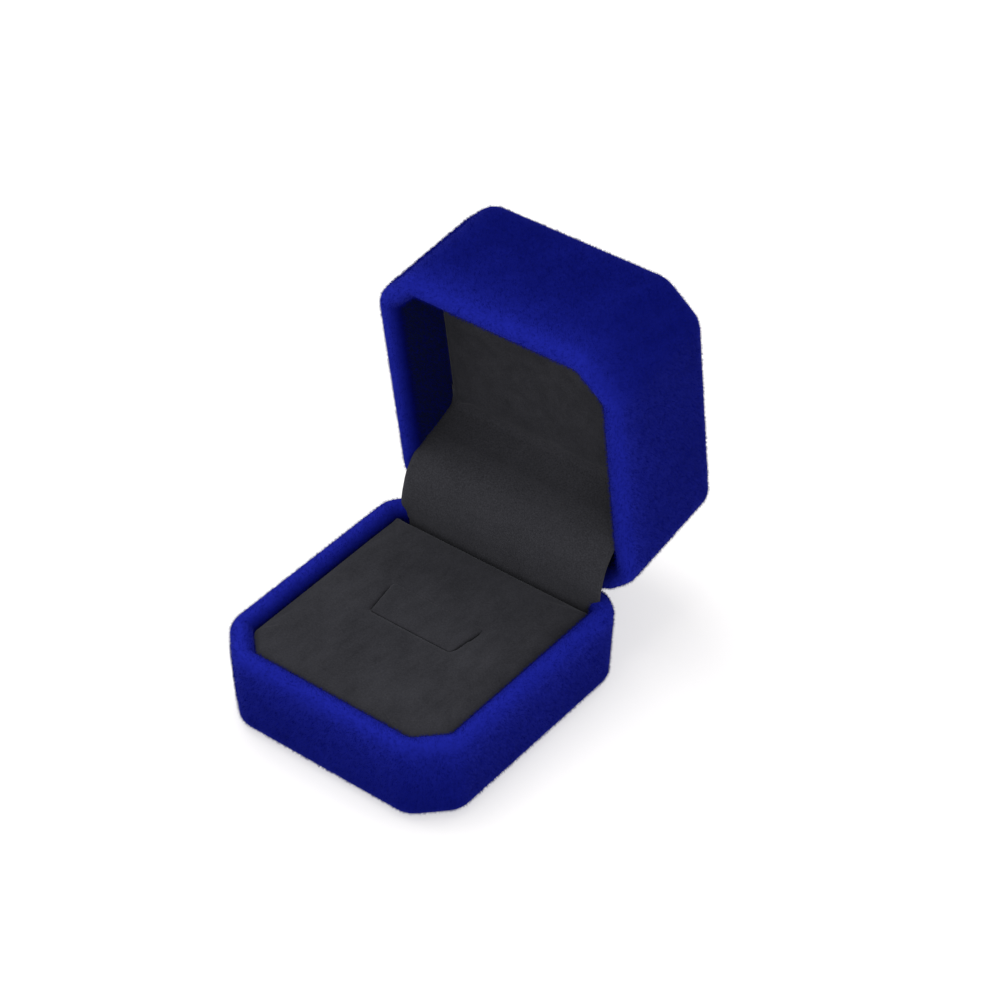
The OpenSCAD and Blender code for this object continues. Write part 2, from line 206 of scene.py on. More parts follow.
floor_finish = Finish("studio_floor")
floor_grain = floor_finish.noise(floor_finish.place(), 30.0)
floor_finish.set(
    Base_Color=floor_finish.mix(floor_grain, (0.55, 0.535, 0.53, 1), (0.58, 0.565, 0.56, 1)),
    Roughness=0.9, Emission_Color=(1, 1, 1, 1), Emission_Strength=0.52,
)
floor_size = 4.0
floor = new_piece(
    "studio_floor",
    [(-floor_size, -floor_size, 0), (floor_size, -floor_size, 0),
     (floor_size, floor_size, 0), (-floor_size, floor_size, 0)],
    [(0, 1, 2, 3)],
)
floor.data.materials.append(floor_finish.material)

world = bpy.data.worlds.new("studio")
world.use_nodes = True
world.node_tree.nodes["Background"].inputs["Color"].default_value = (1, 1, 1, 1)
world.node_tree.nodes["Background"].inputs["Strength"].default_value = 0.72
bpy.context.scene.world = world


def soft_light(name, place, size, power):
    """A square area light of that size, in metres, aimed at the box."""
    data = bpy.data.lights.new(name, "AREA")
    data.size = size
    data.energy = power
    light = bpy.data.objects.new(name, data)
    light.location = place
    aim = Vector((0, 0.01, 0.03)) - Vector(place)
    light.rotation_euler = aim.to_track_quat("-Z", "Y").to_euler()
    bpy.context.scene.collection.objects.link(light)


soft_light("overhead", (-0.2, 0.05, 0.9), 0.7, 4.0)
soft_light("left_side", (-0.8, -0.4, 0.5), 0.5, 1.3)
soft_light("front_right", (0.75, -0.7, 0.5), 0.5, 2.8)


# ---- Base cover ---------------------------------------------------------------------
# Royal blue velvet, glued over thin wadding on a moulded tray with an eight-sided plan.
# It turns under the base, goes over the full round rim and turns in down the inside.

base_low, base_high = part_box("base_cover")
half_width = base_high.x
half_depth = base_high.y
rim_height = base_high.z
corner_leg = 7.8 * MM
rim_thickness = 4.6 * MM
bevel_slope = math.tan(open_angle / 2)
stop_gap = 0.2 * MM
velvet_thickness = 0.7 * MM
pile_depth = 0.15 * MM
# Share of painted light on the flat faces, between the painted highlight on the rims and the painted
# shade down the turn-ins.
flat_face_painted_light = 0.29
outer_radius = 6.6 * MM
inner_radius = 1.2 * MM
foot_radius = 2.7 * MM
wall_lean = 0.6 * MM
turn_under = 9 * MM
base_turn_in = 9 * MM
base_bottom = base_low.z
hinge_half_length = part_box("hinge_pin")[1].x + 0.5 * MM
shell_bore_y = half_depth - 3.05 * MM


def plan_outline(inset, radius):
    """Points round the eight-sided plan, moved in by inset, with rounded corners."""
    root2 = math.sqrt(2)
    x, y = half_width - inset, half_depth - inset
    x_short = half_width - corner_leg - inset * (root2 - 1)
    y_short = half_depth - corner_leg - inset * (root2 - 1)
    corners = [
        (x, y_short), (x_short, y), (-x_short, y), (-x, y_short),
        (-x, -y_short), (-x_short, -y), (x_short, -y), (x, -y_short),
    ]
    arcs = []
    for k, corner in enumerate(corners):
        first = math.radians(45 * k)
        middle = first + math.pi / 8
        reach = radius / math.cos(math.pi / 8)
        centre = np.array(corner) - reach * np.array([math.cos(middle), math.sin(middle)])
        turn = first + np.linspace(0, math.pi / 4, 9)
        arcs.append(centre + radius * np.stack([np.cos(turn), np.sin(turn)], 1))
    points = []
    for k, arc in enumerate(arcs):
        steps = 14 if k % 2 == 0 else 56
        share = (np.arange(1, steps) / steps)[:, None]
        following = arcs[(k + 1) % 8][0]
        points += [arc, arc[-1] + (following - arc[-1]) * share]
    return np.concatenate(points)


def edge_radius(inset):
    share = np.clip(inset / rim_thickness, 0, 1)
    return max(inner_radius, outer_radius + (inner_radius - outer_radius) * share)


def arc(centre_inset, centre_height, radius, start, end, steps):
    """Profile points [inset, height] on an arc; angles in degrees, 0 facing inwards."""
    turn = np.radians(np.linspace(start, end, steps))
    return np.stack([centre_inset + radius * np.cos(turn), centre_height + radius * np.sin(turn)], 1)


def line(a, b, steps):
    return np.array(a) + (np.array(b) - np.array(a)) * np.linspace(0, 1, steps)[1:-1, None]


def wall_profile(depth, far, rim, far_radius, far_end, turn_in, fine):
    """Profile of a wrapped wall, far end first. A lid's far end is above its rim."""
    up = 1 if rim > far else -1
    rim_middle = rim - up * rim_thickness / 2
    far_arc = arc(wall_lean + far_radius, 0, far_radius - depth, 90, 180, 2 + 6 * fine)
    far_arc[:, 1] = far + up * (far_radius - far_arc[:, 1])
    rim_arc = arc(rim_thickness / 2, 0, rim_thickness / 2 - depth, 180, 0, 5 + 12 * fine)
    rim_arc[:, 1] = rim_middle + up * rim_arc[:, 1]
    end = (rim_thickness - depth, rim - up * turn_in)
    start = (far_end, far + up * depth)
    return np.concatenate([
        [start], line(start, far_arc[0], 2 + 10 * fine),
        far_arc, line(far_arc[-1], rim_arc[0], 4 + 26 * fine),
        rim_arc, line(rim_arc[-1], end, 4 + 18 * fine), [end],
    ])


def smooth_least(a, b, blend):
    """The lesser of two values, rounded over where they cross."""
    h = np.clip(0.5 + 0.5 * (b - a) / blend, 0, 1)
    return b + (a - b) * h - blend * h * (1 - h)


def base_bend(points):
    """Lowers the back of the rim along the slope that meets the open lid."""
    y, z = points[:, 1], points[:, 2]
    bend_from = rim_height * 0.46
    slope = hinge_at.z - stop_gap - bevel_slope * (y - hinge_at.y)
    cap = smooth_least(np.full_like(y, rim_height), slope, 0.8 * MM)
    share = (cap - bend_from) / (rim_height - bend_from)
    points[:, 2] = np.where(z > bend_from, bend_from + (z - bend_from) * share, z)
    return points


def make_room_for_hinge(points):
    """Narrows the back rim between the ends of the hinge, down to the tray's own wall."""
    x, y = points[:, 0], points[:, 1]
    inside = half_depth - rim_thickness
    share = (half_depth - shell_bore_y) / (half_depth - inside)
    moved = half_depth - (half_depth - y) * share
    near = np.clip((hinge_half_length + 0.6 * MM - np.abs(x)) / (0.6 * MM), 0, 1)
    near = near * near * (3 - 2 * near)
    points[:, 1] = np.where(y > inside - 0.5 * MM, y + (moved - y) * near, y)
    return points


def rim_highlight_and_turn_in_shade(profile, rim, darkest):
    """Painted light at each profile point: a painted highlight, full on the crest of the rim,
    falling to the flat faces' share down the outside, and painted shade, to the darkest, down the
    inside."""
    steps = np.linalg.norm(np.diff(profile, axis=0), axis=1)
    along = np.concatenate([[0], np.cumsum(steps)])
    crest = np.argmin(np.abs(profile[:, 1] - rim))
    past = along - along[crest]
    outside = flat_face_painted_light + (1 - flat_face_painted_light) * np.exp(np.minimum(past + 1 * MM, 0) / (5 * MM))
    inside = 1 + (darkest - 1) * np.clip(past / (4.5 * MM), 0, 1)
    return np.where(past > 0, inside, outside)


# Stores the share of painted light on the piece's points, for the velvet's colour.
def mark_painted_light(piece, values):
    layer = piece.data.attributes.new("painted_light", "FLOAT", "POINT")
    layer.data.foreach_set("value", np.asarray(values, dtype=np.float32))


def grid_faces(rows, columns, closed_rows):
    """Quads of a grid whose columns run all the way round."""
    k = np.arange(rows if closed_rows else rows - 1)[:, None]
    i = np.arange(columns)[None, :]
    j = (i + 1) % columns
    after = (k + 1) % rows
    quads = np.stack(
        [k * columns + i, after * columns + i, after * columns + j, k * columns + j], -1
    )
    return quads.reshape(-1, 4)


def wrapped(profile):
    """Carries a profile round the plan: one ring of points for each of its points."""
    rings = []
    for inset, height in profile:
        plan = plan_outline(inset, edge_radius(inset))
        rings.append(np.column_stack([plan, np.full(len(plan), height)]))
    return np.concatenate(rings), len(rings[0])


outer = wall_profile(pile_depth, base_bottom, rim_height, foot_radius, turn_under, base_turn_in, 1)
inner = wall_profile(velvet_thickness, base_bottom, rim_height, foot_radius, turn_under, base_turn_in, 0)
points, around = wrapped(np.concatenate([outer, inner[::-1]]))
points = make_room_for_hinge(base_bend(points))
faces = grid_faces(len(outer) + len(inner), around, True)[:, ::-1]
base_velvet = new_piece("base_velvet", points, faces)
# Painted light in the base velvet's colour: a painted highlight on the rim, painted shade down the
# turn-in.
painted_light = np.concatenate([rim_highlight_and_turn_in_shade(outer, rim_height, 0.0), np.zeros(len(inner))])
mark_painted_light(base_velvet, np.repeat(painted_light, around))
base_outer_faces = (len(outer) - 1) * around


def velvet(name, deep, tip, sheen, sheen_tint, grain_size, patchy=0.25, shaded=None):
    """Short cut pile: dark between the fibres, paler at their tips, brushed in patches.
    Where a colour for shaded cloth is given, the painted light marked on the piece paints light and
    shade
    into the colour: a painted highlight towards the rims, painted shade towards that shaded colour down
    the turn-ins."""
    finish = Finish(name)
    place = finish.place()
    grain = finish.noise(place, 1 / grain_size, 3.0, 0.7)
    strokes = finish.noise(finish.stretched(place, (1.0, 0.45, 1.0)), 1 / (3 * MM), 3.0, 0.6)
    patches = finish.noise(place, 1 / (16 * MM), 2.0)
    share = grain * (1 - 2 * patchy) + strokes * patchy + patches * patchy
    share = finish.between(share, 0.3, 0.75)
    if shaded:
        # Painted light: the marked share lightens the colour towards the rims and darkens it down the
        # turn-ins.
        painted_light = finish.node("ShaderNodeAttribute", {"attribute_name": "painted_light"}, out="Fac")
        share = share * 0.35 + painted_light * 0.85 - 0.17
    colour = finish.mix(finish.between(share, 0.0, 1.0), deep, tip)
    if shaded:
        # Painted shade: the colour goes over to the shaded colour down the turn-ins.
        colour = finish.mix(finish.between(0 - painted_light, -0.15, 0.25), colour, shaded)
    finish.set(
        Base_Color=colour,
        Roughness=strokes * 0.2 + 0.75,
        Specular_IOR_Level=0.0,
        Sheen_Weight=sheen,
        Sheen_Roughness=0.4,
        Sheen_Tint=sheen_tint,
        Normal=finish.bump(grain * 0.6 + strokes * 0.8, 0.12 * MM, 0.7),
    )
    return finish.material


# Its shaded colour is painted shade, reached fully down the lid's turn-in.
blue_velvet = velvet(
    "blue_velvet", (0.0003, 0.0012, 0.055, 1), (0.0125, 0.0185, 0.31, 1), 0.3, (0.11, 0.13, 0.85, 1),
    0.35 * MM, shaded=(0.004, 0.006, 0.022, 1),
)


def pile(name, piece, face_count, density, length, colour, sheen, seed):
    """Fibres that stand on the first face_count faces of a piece: one sliver for each."""
    mesh = piece.data
    count = len(mesh.vertices)
    places = np.empty(count * 3)
    mesh.vertices.foreach_get("co", places)
    places = places.reshape(-1, 3)
    quads = np.array([tuple(mesh.polygons[k].vertices) for k in range(face_count)])
    corner = places[quads]
    across = corner[:, 1] - corner[:, 0]
    along = corner[:, 3] - corner[:, 0]
    normal = np.cross(across, along)
    area = np.linalg.norm(normal, axis=1)
    normal = normal / np.maximum(area, 1e-15)[:, None]
    draw = np.random.default_rng(seed)
    total = int(area.sum() / MM**2 * density)
    on = draw.choice(face_count, total, p=area / area.sum())
    u, v = draw.random((2, total, 1))
    near = corner[on, 0] + (corner[on, 1] - corner[on, 0]) * u
    far = corner[on, 3] + (corner[on, 2] - corner[on, 3]) * u
    root = near + (far - near) * v
    lean = draw.normal(0, 0.36, (total, 3)) + np.array([0.05, -0.15, -0.1])
    direction = normal[on] + lean
    direction /= np.linalg.norm(direction, axis=1)[:, None]
    reach = length * draw.uniform(0.55, 1.25, (total, 1))
    side = np.cross(direction, draw.normal(0, 1, (total, 3)))
    side *= 0.032 * MM / np.linalg.norm(side, axis=1)[:, None]
    root = root - normal[on] * 0.05 * MM
    tip = root + direction * reach
    corners = np.stack([root - side, root + side, tip], 1).reshape(-1, 3)
    fibres = new_piece(name, corners, np.arange(total * 3).reshape(-1, 3), smooth=False)
    finish = Finish(name)
    finish.set(
        Base_Color=colour, Roughness=0.8, Specular_IOR_Level=0.0,
        Sheen_Weight=sheen, Sheen_Roughness=0.4, Sheen_Tint=(0.10, 0.12, 0.85, 1),
    )
    fibres.data.materials.append(finish.material)
    return fibres


base_velvet.data.materials.append(blue_velvet)
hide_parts("base_cover", "base_wadding")
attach(base_velvet, "base")
pile_colour = (0.0030, 0.0058, 0.18, 1)
base_pile = pile("base_pile", base_velvet, base_outer_faces, 15.0, 0.62 * MM, pile_colour, 0.12, 11)
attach(base_pile, "base")


# ---- Lid cover ----------------------------------------------------------------------
# The same velvet over the deeper lid shell. It closes over the top with a softly
# swelled panel, and turns in as far as the black lining.

def shut_corners(node):
    """Lowest and highest corner of a lid node, in the place it has when the box is shut."""
    back = swing_open.inverted()
    places = np.array([back @ v.co for v in frame["nodes"][node].data.vertices])
    return Vector(places.min(0)), Vector(places.max(0))


def opened(points):
    """Points of the shut lid, moved to where the open lid holds them."""
    turned = np.array(swing_open)
    return points @ turned[:3, :3].T + turned[:3, 3]


lid_low, lid_high = shut_corners("lid_cover")
lid_rim_height = lid_low.z
lid_top = lid_high.z + 0.75 * MM
crown_radius = 3.2 * MM
lid_pocket = 12.2 * MM
lid_turn_in = lid_pocket + 1.5 * MM
top_rings = 26


def lid_bend(points):
    """Raises the back of the lid's rim along the slope that meets the base."""
    y, z = points[:, 1], points[:, 2]
    bend_from = lid_top - (lid_top - lid_rim_height) * 0.6
    slope = hinge_at.z + stop_gap + bevel_slope * (y - hinge_at.y)
    cap = -smooth_least(np.full_like(y, -lid_rim_height), -slope, 0.8 * MM)
    share = (bend_from - cap) / (bend_from - lid_rim_height)
    points[:, 2] = np.where(z < bend_from, bend_from - (bend_from - z) * share, z)
    return points


def top_panel(first_ring, height, sag):
    """Rings that close the lid's top, from its edge to near the middle."""
    rings = []
    for share in np.linspace(0, 1, top_rings)[1:-1]:
        ring = first_ring * np.array([1 - share, 1 - share, 1])
        ring[:, 2] = height + sag * (1 - (1 - share) ** 2)
        rings.append(ring)
    return rings


far_inset = wall_lean + crown_radius
outer = wall_profile(pile_depth, lid_top, lid_rim_height, crown_radius, far_inset, lid_turn_in, 1)
inner = wall_profile(velvet_thickness, lid_top, lid_rim_height, crown_radius, far_inset, lid_turn_in, 0)
outer = outer[1:]
inner = inner[1:]
points, around = wrapped(np.concatenate([outer, inner[::-1]]))
points = make_room_for_hinge(lid_bend(points))
top_out = top_panel(points[:around], lid_top - pile_depth, 0.25 * MM)
top_in = top_panel(points[-around:], lid_top - velvet_thickness, 0.25 * MM)
ring_count = len(outer) + len(inner)
# Painted light in the lid velvet's colour: the flat faces' share on the top, a painted highlight on the
# rim, and painted shade down the turn-in, deeper than in the base.
painted_light = np.concatenate([
    np.full(len(top_out), flat_face_painted_light), rim_highlight_and_turn_in_shade(outer, lid_rim_height, -0.25),
    np.zeros(len(inner) + len(top_in)),
])
points = np.concatenate(top_out[::-1] + [points] + top_in)
rows = ring_count + 2 * len(top_out)
faces = [tuple(f) for f in grid_faces(rows, around, False)]
faces += [tuple(range(around)), tuple(range((rows - 1) * around, rows * around))[::-1]]
lid_velvet = new_piece("lid_velvet", opened(points), faces)
mark_painted_light(lid_velvet, np.repeat(painted_light, around))
lid_outer_faces = (len(top_out) + len(outer) - 1) * around
lid_velvet.data.materials.append(blue_velvet)
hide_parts("lid_cover", "lid_wadding")
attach(lid_velvet, "lid")
lid_pile = pile("lid_pile", lid_velvet, lid_outer_faces, 14.0, 0.62 * MM, pile_colour, 0.12, 23)
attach(lid_pile, "lid")


# ---- Ring pad -----------------------------------------------------------------------
# Charcoal velvet over foam on greyboard, with a flap cut on three sides. It sits a
# little below the rim, and its back edge is straight, where the hinge strip goes down.

black_velvet = velvet(
    "black_velvet", (0.015, 0.015, 0.0175, 1), (0.044, 0.044, 0.051, 1), 0.12, (0.9, 0.92, 1.0, 1),
    0.3 * MM, patchy=0.27,
)
pad_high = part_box("pad_cover")[1]
pad_inset = rim_thickness - pile_depth + 0.05 * MM
flap_low, flap_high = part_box("tongue_cover")
flap_flare = 1.2 * MM


def flap_half(y):
    """Half the flap's width at y: it widens from the slit to its root."""
    share = (y - flap_low.y) / (flap_high.y - flap_low.y)
    return flap_high.x - flap_flare * (1 - share)


def panel_grid(back, top, edge_radius):
    """Top of a padded panel that fills the box's plan up to a straight back edge."""
    reach_y = half_depth - pad_inset
    reach_both = half_width + half_depth - corner_leg - pad_inset * math.sqrt(2)
    step = 0.5 * MM
    rows = np.linspace(-reach_y, back, int((back + reach_y) / step) + 1)
    columns = np.linspace(-1, 1, int(2 * half_width / step))
    y = np.repeat(rows[:, None], len(columns), 1)
    reach_x = np.minimum(half_width - pad_inset, reach_both + y)
    x = columns[None, :] * reach_x
    to_corner = (reach_both + y - np.abs(x)) / math.sqrt(2)
    to_edge = np.minimum(
        np.minimum(half_width - pad_inset - np.abs(x), to_corner),
        np.minimum(y + reach_y, back - y),
    )
    inside = np.clip(to_edge / edge_radius, 0, 1)
    drop = edge_radius * (1 - np.sqrt(np.clip(1 - (1 - inside) ** 2, 0, 1)))
    return np.stack([x, y, top - drop], -1)


def fit_to_flap(grid):
    """Moves the grid's lines so that they run along the flap's cut and its root."""
    for target in (flap_low.y - 0.05 * MM, flap_high.y):
        grid[np.argmin(np.abs(grid[:, 0, 1] - target)), :, 1] = target
    x, y = np.abs(grid[..., 0]), grid[..., 1]
    cut = flap_half(np.clip(y, flap_low.y, flap_high.y)) + 0.1 * MM
    reach = x[:, :1]
    share = 1 - 2 * round(x.shape[1] * (1 - cut.mean() / reach.max()) / 2) / (x.shape[1] - 1)
    line = reach * share
    moved = np.where(x <= line, x * cut / line, cut + (x - line) * (reach - cut) / (reach - line))
    grid[..., 0] = np.sign(grid[..., 0]) * moved
    return grid


def slab(name, grid, thickness, keep):
    """A closed panel of that thickness under a grid of points, with only the kept quads."""
    height, width = grid.shape[:2]
    top = grid.reshape(-1, 3)
    offset = height * width
    index = np.arange(offset).reshape(height, width)
    quads = np.stack([index[:-1, :-1], index[:-1, 1:], index[1:, 1:], index[1:, :-1]], -1)[keep]
    quads = quads.reshape(-1, 4)
    edges = {(a, b) for quad in quads.tolist() for a, b in zip(quad, quad[1:] + quad[:1])}
    faces = quads.tolist() + (quads[:, ::-1] + offset).tolist()
    faces += [[b, a, a + offset, b + offset] for a, b in edges if (b, a) not in edges]
    used = np.unique(np.concatenate([quads.ravel(), quads.ravel() + offset]))
    renumber = np.full(2 * offset, -1)
    renumber[used] = np.arange(len(used))
    points = np.concatenate([top, top - np.array([0, 0, thickness])])[used]
    return new_piece(name, points, [renumber[face] for face in faces])


def puff_up(piece, top, travel):
    """Swells a panel's cloth like foam pressing from inside; its underside is glued down.
    The cloth is worked out at ten times life size, where the solver is steady."""
    grown = 10.0
    piece.data.transform(Matrix.Scale(grown, 4))
    bpy.context.view_layer.objects.active = piece
    remesh = piece.modifiers.new("remesh", "REMESH")
    remesh.mode = "VOXEL"
    remesh.voxel_size = 0.5 * MM * grown
    remesh.use_smooth_shade = True
    bpy.ops.object.modifier_apply(modifier=remesh.name)
    mesh = piece.data
    before = np.empty(len(mesh.vertices) * 3)
    mesh.vertices.foreach_get("co", before)
    before = before.reshape(-1, 3)
    glued = piece.vertex_groups.new(name="glued")
    low = np.nonzero(before[:, 2] < (top - 1.9 * MM) * grown)[0]
    glued.add([int(i) for i in low], 1.0, "REPLACE")
    cloth = piece.modifiers.new("cloth", "CLOTH")
    cloth.settings.vertex_group_mass = "glued"
    cloth.settings.use_pressure = True
    cloth.settings.uniform_pressure_force = 4.0
    cloth.settings.effector_weights.gravity = 0.0
    cloth.settings.quality = 4
    scene = bpy.context.scene
    cloth.point_cache.frame_start = 1
    cloth.point_cache.frame_end = 20
    for step in range(1, 21):
        scene.frame_set(step)
    seen = piece.evaluated_get(bpy.context.evaluated_depsgraph_get())
    after = np.empty(len(before) * 3)
    seen.data.vertices.foreach_get("co", after)
    piece.modifiers.remove(cloth)
    moved = after.reshape(-1, 3) - before
    length = np.linalg.norm(moved, axis=1)[:, None] + 1e-12
    cap = travel * grown
    settled = before + moved / length * cap * np.tanh(length / cap)
    mesh.vertices.foreach_set("co", settled.ravel())
    mesh.update()
    piece.vertex_groups.clear()
    mesh.transform(Matrix.Scale(1 / grown, 4))
    scene.frame_set(1)
    finer = piece.modifiers.new("finer", "SUBSURF")
    finer.levels = finer.render_levels = 1
    bpy.ops.object.modifier_apply(modifier=finer.name)


pad_top = pad_high.z
puffing = 0.35 * MM
grid = fit_to_flap(panel_grid(pad_high.y, pad_top - puffing * 0.6, 0.9 * MM))
middle = (grid[:-1, :-1] + grid[1:, 1:]) / 2
in_flap = (
    (np.abs(middle[..., 0]) < flap_half(middle[..., 1]) + 0.1 * MM)
    & (middle[..., 1] > flap_low.y - 0.05 * MM) & (middle[..., 1] < flap_high.y)
)
pad = slab("pad", grid, 3 * MM, ~in_flap)
puff_up(pad, pad_top, puffing)
pad.data.materials.append(black_velvet)
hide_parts("pad_cover", "pad_foam")
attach(pad, "base")

# The flap: the same cloth on a tongue of board. Its tip lies a little lower than the
# pad in front of it, and its root runs on into the pad.
flap_rows = np.linspace(flap_low.y + 0.1 * MM, flap_high.y + 0.9 * MM, 26)
flap_columns = np.linspace(-1, 1, 61)
y = np.repeat(flap_rows[:, None], len(flap_columns), 1)
reach = np.where(y < flap_high.y, flap_half(y), flap_high.x)
x = flap_columns[None, :] * (reach - 0.05 * MM)
from_root = np.clip((flap_high.y - y) / (flap_high.y - flap_low.y), 0, 1)
to_edge = np.minimum(reach - np.abs(x), y - flap_low.y)
inside = np.clip(to_edge / (0.3 * MM), 0, 1)
rounding = 0.3 * MM * (1 - np.sqrt(1 - (1 - inside) ** 2))
tail = np.clip((y - flap_high.y) / (0.9 * MM), 0, 1)
z = pad_top - 0.02 * MM - rounding - 0.45 * MM * from_root**1.4 - 0.25 * MM * tail
grid = np.stack([x, y, z], -1)
flap = slab("flap", grid, 2.2 * MM, np.ones((len(flap_rows) - 1, len(flap_columns) - 1), bool))
flap.data.materials.append(black_velvet)
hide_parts("tongue_cover", "tongue_core")
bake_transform(flap)


# ---- Lid lining ---------------------------------------------------------------------
# The same charcoal velvet on a foam-backed board, pressed into the lid's turn-in.

lining_low, lining_high = shut_corners("lid_lining")
lining_face = lining_low.z
grid = panel_grid(lining_high.y, 0.0, 1.3 * MM)
lining = slab("lining", grid, 3 * MM, np.ones((grid.shape[0] - 1, grid.shape[1] - 1), bool))
puff_up(lining, 0.0, 0.4 * MM)
lining.data.transform(Matrix.Translation((0, 0, lining_face)) @ Matrix.Scale(-1, 4, (0, 0, 1)))
lining.data.flip_normals()
lining.data.transform(swing_open)
lining.data.materials.append(black_velvet)
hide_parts("lid_lining", "lid_foam")
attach(lining, "lid")


# ---- Hinge strip --------------------------------------------------------------------
# A wide strip of the black velvet that goes down behind the pad, up in front of the
# hinge and into the lid. It hides the hinge. On the real box it folds when the lid shuts;
# here it is drawn only as it lies with the lid open.

strip_thickness = 0.7 * MM
panel_edge = opened(np.array([[0, lining_high.y, lining_face - 0.1 * MM]]))[0]
panel_up = opened(np.array([[0, lining_high.y - 6 * MM, lining_face + 0.5 * MM]]))[0]
strip_guide = [
    (0.02265, 0.0125), (0.02265, 0.0155), (0.0228, 0.0181), (0.0230, 0.0205), (0.0236, 0.0229),
    (0.0248, 0.0260), (0.0275, 0.0292), (0.0312, 0.0311), (0.0345, 0.0323),
    (panel_edge[1] - 1.3 * MM, panel_edge[2] + 0.1 * MM),
    (panel_edge[1] - 0.25 * MM, panel_edge[2] + 1.6 * MM),
    (panel_up[1], panel_up[2]),
]


def rounded_path(points, count):
    """A smooth path through points, evenly spaced along its length."""
    points = np.array(points)
    padded = np.concatenate([[2 * points[0] - points[1]], points, [2 * points[-1] - points[-2]]])
    path = []
    for a, b, c, d in zip(padded, padded[1:], padded[2:], padded[3:]):
        t = np.linspace(0, 1, 24, endpoint=False)[:, None]
        path.append(0.5 * (
            2 * b + (c - a) * t + (2 * a - 5 * b + 4 * c - d) * t**2 + (3 * b - a - 3 * c + d) * t**3
        ))
    path = np.concatenate(path + [points[-1:]])
    along = np.concatenate([[0], np.cumsum(np.linalg.norm(np.diff(path, axis=0), axis=1))])
    even = np.linspace(0, along[-1], count)
    return np.stack([np.interp(even, along, path[:, k]) for k in range(2)], 1), along[-1]


strip_path, strip_length = rounded_path(strip_guide, 90)
way = np.gradient(strip_path, axis=0)
way /= np.linalg.norm(way, axis=1)[:, None]
towards_back = np.stack([way[:, 1], -way[:, 0]], 1)
narrow, wide = 22.2 * MM, 24.3 * MM
rise = np.clip((strip_path[:, 1] - 15.8 * MM) / (2.4 * MM), 0, 1)
strip_half = narrow + (wide - narrow) * rise * rise * (3 - 2 * rise)
into_lid = np.clip((np.linspace(0, 1, len(strip_path)) - 0.72) / 0.24, 0, 1)
strip_half -= 1.3 * MM * into_lid * into_lid * (3 - 2 * into_lid)
strip_columns = np.linspace(-1, 1, 81)
edge_share = np.abs(strip_columns)
curl = 0.12 * MM * edge_share**6
front = np.zeros((len(strip_path), len(strip_columns), 3))
front[..., 0] = strip_half[:, None] * strip_columns
front[..., 1:] = strip_path[:, None, :] + towards_back[:, None, :] * curl[None, :, None]
taper = np.clip((len(strip_path) - 1 - np.arange(len(strip_path))) / 12, 0.15, 1)
rounding = 0.35 * MM * np.clip((edge_share - 0.985) / 0.015, 0, 1) ** 2
depth = strip_thickness * taper[:, None] - rounding[None, :]
back = front.copy()
front[..., 1:] += towards_back[:, None, :] * rounding[None, :, None]
back[..., 1:] += towards_back[:, None, :] * depth[..., None]
count = len(strip_path) * len(strip_columns)
index = np.arange(count).reshape(len(strip_path), -1)
quads = np.stack([index[:-1, :-1], index[:-1, 1:], index[1:, 1:], index[1:, :-1]], -1).reshape(-1, 4)
outline = np.concatenate([index[0, :-1], index[:-1, -1], index[-1, :0:-1], index[:0:-1, 0]])
faces = quads.tolist() + (quads[:, ::-1] + count).tolist()
faces += [[b, a, a + count, b + count] for a, b in zip(outline.tolist(), np.roll(outline, -1).tolist())]
strip = new_piece("hinge_cloth", np.concatenate([front.reshape(-1, 3), back.reshape(-1, 3)]), faces)
# Painted light: a paler copy of the black velvet, lifting the strip out of the shade under the open lid.
strip.data.materials.append(velvet(
    "strip_velvet_painted_light", (0.020, 0.020, 0.023, 1), (0.052, 0.052, 0.060, 1), 0.15, (0.9, 0.92, 1.0, 1),
    0.3 * MM, patchy=0.12,
))
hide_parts("hinge_strip")
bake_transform(strip)


# ---- Hinge --------------------------------------------------------------------------
# Pressed steel leaves with rolled knuckles on a wire pin, riveted to the shells, and
# two spring strips that snap the lid open and shut.

def pressed_steel(name, colour, roughness):
    """Plated sheet: fine rolling lines, and a slight dulling in patches."""
    finish = Finish(name)
    place = finish.place()
    lines = finish.noise(finish.stretched(place, (0.08, 1.0, 1.0)), 1 / (0.12 * MM), 2.0)
    dull = finish.noise(place, 1 / (4 * MM), 3.0)
    darker = tuple(c * 0.7 for c in colour[:3]) + (1,)
    finish.set(
        Base_Color=finish.mix(dull, darker, colour),
        Metallic=1.0,
        Roughness=dull * 0.2 + roughness,
        Normal=finish.bump(lines, 0.01 * MM, 0.4),
    )
    return finish.material


def give_finish(material, bevel, *names):
    """Puts a finish on CAD pieces and rounds their edges by a few hundredths."""
    for name in names:
        node = frame["nodes"][name]
        node.data.materials.clear()
        node.data.materials.append(material)
        rounded = node.modifiers.new("rounded_edges", "BEVEL")
        rounded.width = bevel
        rounded.segments = 2
        rounded.limit_method = "ANGLE"
        rounded.angle_limit = math.radians(40)


give_finish(
    pressed_steel("plated_steel", (0.62, 0.61, 0.58, 1), 0.25), 0.06 * MM,
    "hinge_base_leaf", "hinge_lid_leaf", "hinge_pin", "hinge_base_rivets", "hinge_lid_rivets",
)


# ---- Snap springs -------------------------------------------------------------------
# Two strips of tempered steel that lie on both leaves and bow round the knuckles. On the
# real box they bend as the lid turns; here they are drawn as they lie with the lid open.

